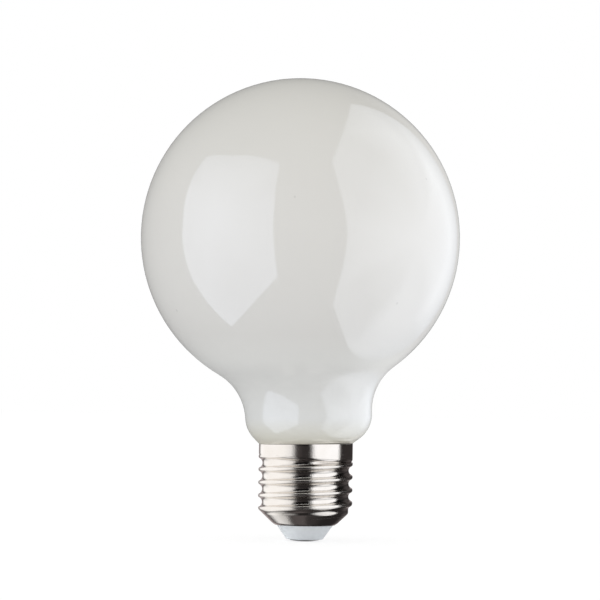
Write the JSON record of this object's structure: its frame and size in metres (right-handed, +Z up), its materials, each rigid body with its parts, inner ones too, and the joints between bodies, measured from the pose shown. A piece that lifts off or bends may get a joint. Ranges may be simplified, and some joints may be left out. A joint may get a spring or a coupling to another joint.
{
  "type": "light bulb",
  "caption": "Globe light bulb: opal white glass envelope with a waisted neck, set slightly out of true in a rolled metal screw cap with insulator and riveted centre contact.",
  "frame": {"origin": "tip of the centre contact, on the axis of the screw cap", "axes": "+Z up the axis of the cap towards the globe, and the globe leans towards -X"},
  "size_m": [0.089, 0.089, 0.129],
  "materials": {
    "opal_glass": "opal, glossy",
    "nickel_plate": "bright nickel plate",
    "insulator_plastic": "moulded, matt",
    "contact_metal": "pressed",
    "cement": "cast, matt"
  },
  "bodies": {
    "root": {"glass_globe": "opal_glass", "screw_shell": "nickel_plate", "insulator": "insulator_plastic", "centre_contact": "contact_metal", "capping_cement": "cement"}
  },
  "joints": []
}
